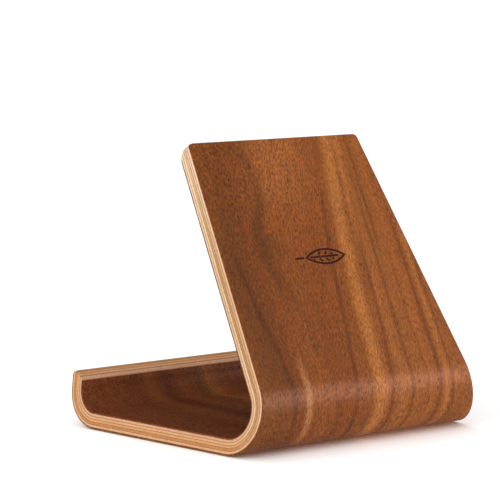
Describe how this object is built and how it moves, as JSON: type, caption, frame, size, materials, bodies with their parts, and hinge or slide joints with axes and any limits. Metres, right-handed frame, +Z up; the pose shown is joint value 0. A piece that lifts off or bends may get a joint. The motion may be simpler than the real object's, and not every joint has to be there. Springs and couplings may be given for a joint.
{
  "type": "tablet stand",
  "caption": "Bent plywood stand: a flat base, a leaning back rest and a low curled front lip hold a tablet upright.",
  "frame": {"origin": "centre of the footprint, on the surface that the stand rests on", "axes": "+X across the width, -Y toward the user (the lip's side), +Y toward the rear bend, +Z up"},
  "size_m": [0.12, 0.099, 0.1027],
  "materials": {
    "outer_walnut": "satin oiled walnut veneer, grain along the strip, engraved lines burnt dark",
    "inner_walnut": "satin oiled walnut veneer, grain along the strip",
    "long_grain_birch": "sanded and oiled birch edge, fibres along the strip",
    "cross_grain_birch": "sanded and oiled birch edge, end grain of a cross ply",
    "pad": "matt thin self-adhesive silicone"
  },
  "bodies": {
    "root": {"outer_face_veneer": "outer_walnut", "core_ply_1": "long_grain_birch", "core_ply_2": "cross_grain_birch", "core_ply_3": "long_grain_birch", "core_ply_4": "cross_grain_birch", "core_ply_5": "long_grain_birch", "inner_face_veneer": "inner_walnut", "front_left_pad": "pad", "front_right_pad": "pad", "rear_left_pad": "pad", "rear_right_pad": "pad"}
  },
  "joints": []
}
